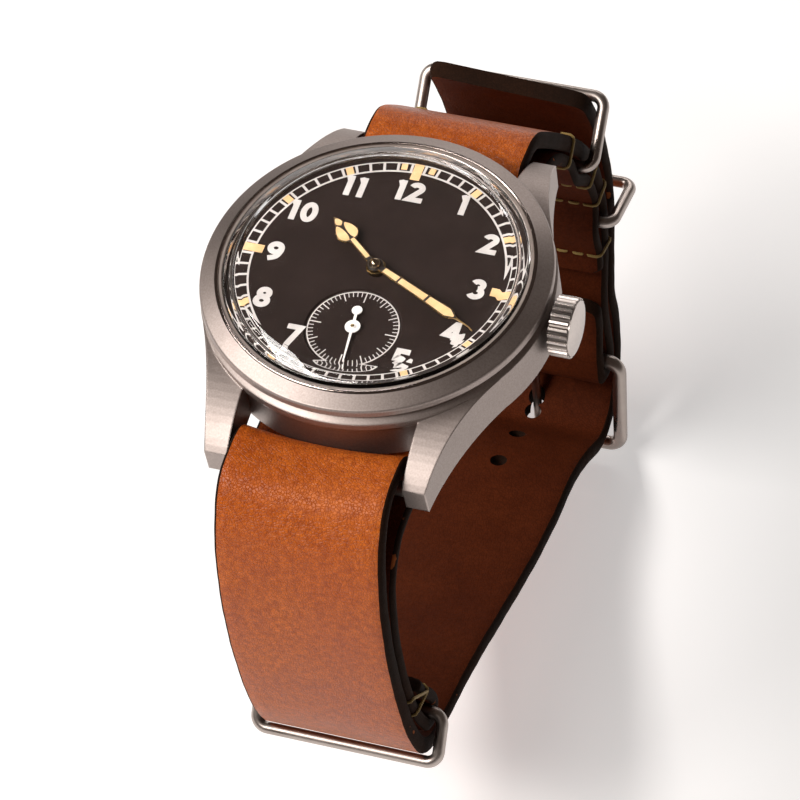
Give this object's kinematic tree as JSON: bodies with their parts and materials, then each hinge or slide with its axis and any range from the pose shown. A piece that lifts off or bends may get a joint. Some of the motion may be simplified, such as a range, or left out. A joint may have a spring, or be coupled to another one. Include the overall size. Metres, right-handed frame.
{
  "type": "sports watch",
  "caption": "Hand-wound steel sports watch with small seconds on a tan leather pass-through strap.",
  "frame": {"origin": "centre of the case back's outer face", "axes": "+Z out through the dial, +Y towards twelve o'clock, +X towards the crown"},
  "size_m": [0.0393, 0.0772, 0.0719],
  "materials": {
    "steel": "fine bead-blasted",
    "bright_steel": "polished",
    "nickel": "nickel-plated, satin",
    "brass": "gilt",
    "lume": "dark rim filled with aged cream luminous paint",
    "dial": "matt brown-black",
    "crystal": "clear, domed",
    "ruby": "synthetic ruby",
    "seal": "matt",
    "leather": "tan grained leather",
    "leather_dark": "dark flesh side"
  },
  "bodies": {
    "watch": {"case_middle": "steel", "bezel": "steel", "crystal": "crystal", "crystal_seal": "seal", "case_back": "steel", "case_back_seal": "seal", "crown_tube": "steel", "movement_ring": "bright_steel", "dial": "dial", "spring_bar_12": "steel", "spring_bar_6": "steel", "strap_main": "leather", "strap_flap": "leather_dark", "main_plate": "nickel", "barrel_bridge": "nickel", "train_bridge": "nickel", "pallet_bridge": "nickel", "balance_cock": "nickel", "hairspring": "bright_steel", "click_spring": "bright_steel", "jewels": "ruby", "movement_screws": "bright_steel"},
    "minute": {"minute_hand": "lume", "cannon_pinion": "bright_steel", "center_wheel": "brass"},
    "hour": {"hour_hand": "lume", "hour_wheel": "brass"},
    "minute_wheel": {"minute_wheel": "brass"},
    "setting_wheel": {"setting_wheel": "bright_steel"},
    "third_wheel": {"third_wheel": "brass"},
    "seconds": {"fourth_wheel": "brass", "seconds_hand": "bright_steel"},
    "escape_wheel": {"escape_wheel": "nickel"},
    "barrel": {"barrel": "brass", "barrel_cover": "brass", "mainspring": "bright_steel"},
    "pallet_fork": {"pallet_fork": "nickel"},
    "balance": {"balance_wheel": "brass"},
    "crown_slider": {"crown_seal": "seal"},
    "crown": {"crown": "steel", "winding_stem": "bright_steel"},
    "winding_pinion": {"winding_pinion": "bright_steel"},
    "crown_wheel": {"crown_wheel": "nickel"},
    "ratchet": {"ratchet_wheel": "nickel", "barrel_arbor": "bright_steel"},
    "clutch": {"sliding_clutch": "bright_steel"},
    "setting_lever": {"setting_lever": "bright_steel"},
    "yoke": {"yoke": "bright_steel"},
    "click": {"click": "bright_steel"},
    "regulator": {"regulator": "bright_steel"},
    "bar_12_pin_left": {"bar_12_pin_left": "bright_steel"},
    "bar_12_pin_right": {"bar_12_pin_right": "bright_steel"},
    "bar_6_pin_left": {"bar_6_pin_left": "bright_steel"},
    "bar_6_pin_right": {"bar_6_pin_right": "bright_steel"},
    "lower_ring": {"lower_ring": "steel"},
    "keeper_ring_1": {"keeper_ring_1": "steel"},
    "keeper_ring_2": {"keeper_ring_2": "steel"},
    "buckle_frame": {"buckle_frame": "steel"},
    "buckle_tongue": {"buckle_tongue": "steel"}
  },
  "joints": [
    {"name": "seconds_turn", "type": "hinge", "parent": "watch", "child": "seconds", "pos_m": [0, -0.00744, 0.0083], "axis": [0, 0, 1], "continuous": true},
    {"name": "minute_turn", "type": "hinge", "parent": "watch", "child": "minute", "pos_m": [0, 0, 0.0092], "axis": [0, 0, 1], "continuous": true},
    {"name": "hour_turn", "type": "hinge", "parent": "watch", "child": "hour", "pos_m": [0, 0, 0.00885], "axis": [0, 0, 1], "continuous": true},
    {"name": "minute_wheel_turn", "type": "hinge", "parent": "watch", "child": "minute_wheel", "pos_m": [0.00288, 0, 0.0071], "axis": [0, 0, 1], "continuous": true},
    {"name": "setting_wheel_turn", "type": "hinge", "parent": "watch", "child": "setting_wheel", "pos_m": [0.00588, 0, 0.0071], "axis": [0, 0, 1], "continuous": true},
    {"name": "third_wheel_turn", "type": "hinge", "parent": "watch", "child": "third_wheel", "pos_m": [0.0013, -0.00407, 0.0047], "axis": [0, 0, 1], "continuous": true},
    {"name": "escape_wheel_turn", "type": "hinge", "parent": "watch", "child": "escape_wheel", "pos_m": [-0.00289, -0.00639, 0.0043], "axis": [0, 0, 1], "continuous": true},
    {"name": "barrel_turn", "type": "hinge", "parent": "watch", "child": "barrel", "pos_m": [0.00266, 0.00571, 0.0048], "axis": [0, 0, 1], "continuous": true},
    {"name": "pallet_fork_rock", "type": "hinge", "parent": "watch", "child": "pallet_fork", "pos_m": [-0.00448, -0.00384, 0.0043], "axis": [0, 0, 1], "range_deg": [-6, 6]},
    {"name": "balance_swing", "type": "hinge", "parent": "watch", "child": "balance", "pos_m": [-0.00639, -0.00079, 0.0046], "axis": [0, 0, 1], "range_deg": [-270, 270]},
    {"name": "crown_pull", "type": "slide", "parent": "watch", "child": "crown_slider", "axis": [1, 0, 0], "range_m": [0, 0.001]},
    {"name": "crown_turn", "type": "hinge", "parent": "crown_slider", "child": "crown", "pos_m": [0.018, 0, 0.0054], "axis": [1, 0, 0], "continuous": true},
    {"name": "winding_pinion_turn", "type": "hinge", "parent": "watch", "child": "winding_pinion", "pos_m": [0.00985, 0, 0.0054], "axis": [1, 0, 0], "continuous": true},
    {"name": "crown_wheel_turn", "type": "hinge", "parent": "watch", "child": "crown_wheel", "pos_m": [0.00705, 0, 0.0032], "axis": [0, 0, 1], "continuous": true},
    {"name": "ratchet_turn", "type": "hinge", "parent": "watch", "child": "ratchet", "pos_m": [0.00266, 0.00571, 0.0032], "axis": [0, 0, 1], "continuous": true},
    {"name": "clutch_slide", "type": "slide", "parent": "watch", "child": "clutch", "axis": [1, 0, 0], "range_m": [-0.0008, 0]},
    {"name": "setting_lever_turn", "type": "hinge", "parent": "watch", "child": "setting_lever", "pos_m": [0.01105, 0.0029, 0.0075], "axis": [0, 0, 1], "range_deg": [0, 20]},
    {"name": "yoke_turn", "type": "hinge", "parent": "watch", "child": "yoke", "pos_m": [0.00815, 0.0036, 0.0075], "axis": [0, 0, 1], "range_deg": [-13, 0]},
    {"name": "click_turn", "type": "hinge", "parent": "watch", "child": "click", "pos_m": [-0.00227, 0.00856, 0.0031], "axis": [0, 0, 1], "range_deg": [0, 8]},
    {"name": "regulator_turn", "type": "hinge", "parent": "watch", "child": "regulator", "pos_m": [-0.00639, -0.00079, 0.0032], "axis": [0, 0, 1], "range_deg": [-15, 15]},
    {"name": "bar_12_pin_left_slide", "type": "slide", "parent": "watch", "child": "bar_12_pin_left", "axis": [1, 0, 0], "range_m": [0, 0.001], "stiffness_N_per_m": 400, "springref_m": -0.001},
    {"name": "bar_12_pin_right_slide", "type": "slide", "parent": "watch", "child": "bar_12_pin_right", "axis": [-1, 0, 0], "range_m": [0, 0.001], "stiffness_N_per_m": 400, "springref_m": -0.001},
    {"name": "bar_6_pin_left_slide", "type": "slide", "parent": "watch", "child": "bar_6_pin_left", "axis": [1, 0, 0], "range_m": [0, 0.001], "stiffness_N_per_m": 400, "springref_m": -0.001},
    {"name": "bar_6_pin_right_slide", "type": "slide", "parent": "watch", "child": "bar_6_pin_right", "axis": [-1, 0, 0], "range_m": [0, 0.001], "stiffness_N_per_m": 400, "springref_m": -0.001},
    {"name": "lower_ring_swing", "type": "hinge", "parent": "watch", "child": "lower_ring", "pos_m": [0, -0.02344, -0.03314], "axis": [1, 0, 0], "range_deg": [-20, 6]},
    {"name": "keeper_ring_1_swing", "type": "hinge", "parent": "watch", "child": "keeper_ring_1", "pos_m": [0, 0.0351, -0.01315], "axis": [1, 0, 0], "range_deg": [-18, 2]},
    {"name": "keeper_ring_2_swing", "type": "hinge", "parent": "watch", "child": "keeper_ring_2", "pos_m": [0, 0.0385, -0.0264], "axis": [1, 0, 0], "range_deg": [-18, 18]},
    {"name": "buckle_frame_swing", "type": "hinge", "parent": "watch", "child": "buckle_frame", "pos_m": [0, 0.0352, -0.047], "axis": [1, 0, 0], "range_deg": [-1, 1]},
    {"name": "buckle_tongue_swing", "type": "hinge", "parent": "watch", "child": "buckle_tongue", "pos_m": [0, 0.0352, -0.047], "axis": [1, 0, 0], "range_deg": [-1, 1]}
  ],
  "couplings": [
    {"joint": "minute_turn", "follows": "seconds_turn", "ratio": 0.016667},
    {"joint": "hour_turn", "follows": "seconds_turn", "ratio": 0.0013889},
    {"joint": "minute_wheel_turn", "follows": "seconds_turn", "ratio": -0.0055556},
    {"joint": "setting_wheel_turn", "follows": "seconds_turn", "ratio": 0.014286},
    {"joint": "third_wheel_turn", "follows": "seconds_turn", "ratio": -0.13333},
    {"joint": "escape_wheel_turn", "follows": "seconds_turn", "ratio": -10},
    {"joint": "barrel_turn", "follows": "seconds_turn", "ratio": -0.0025641},
    {"joint": "winding_pinion_turn", "follows": "crown_turn", "ratio": 1},
    {"joint": "crown_wheel_turn", "follows": "crown_turn", "ratio": 0.71429},
    {"joint": "ratchet_turn", "follows": "crown_turn", "ratio": -0.45455},
    {"joint": "clutch_slide", "follows": "crown_pull", "ratio": -0.8},
    {"joint": "setting_lever_turn", "follows": "crown_pull", "rad_per_m": 344.83},
    {"joint": "yoke_turn", "follows": "crown_pull", "rad_per_m": -222.22},
    {"joint": "buckle_tongue_swing", "follows": "buckle_frame_swing", "ratio": 1}
  ]
}
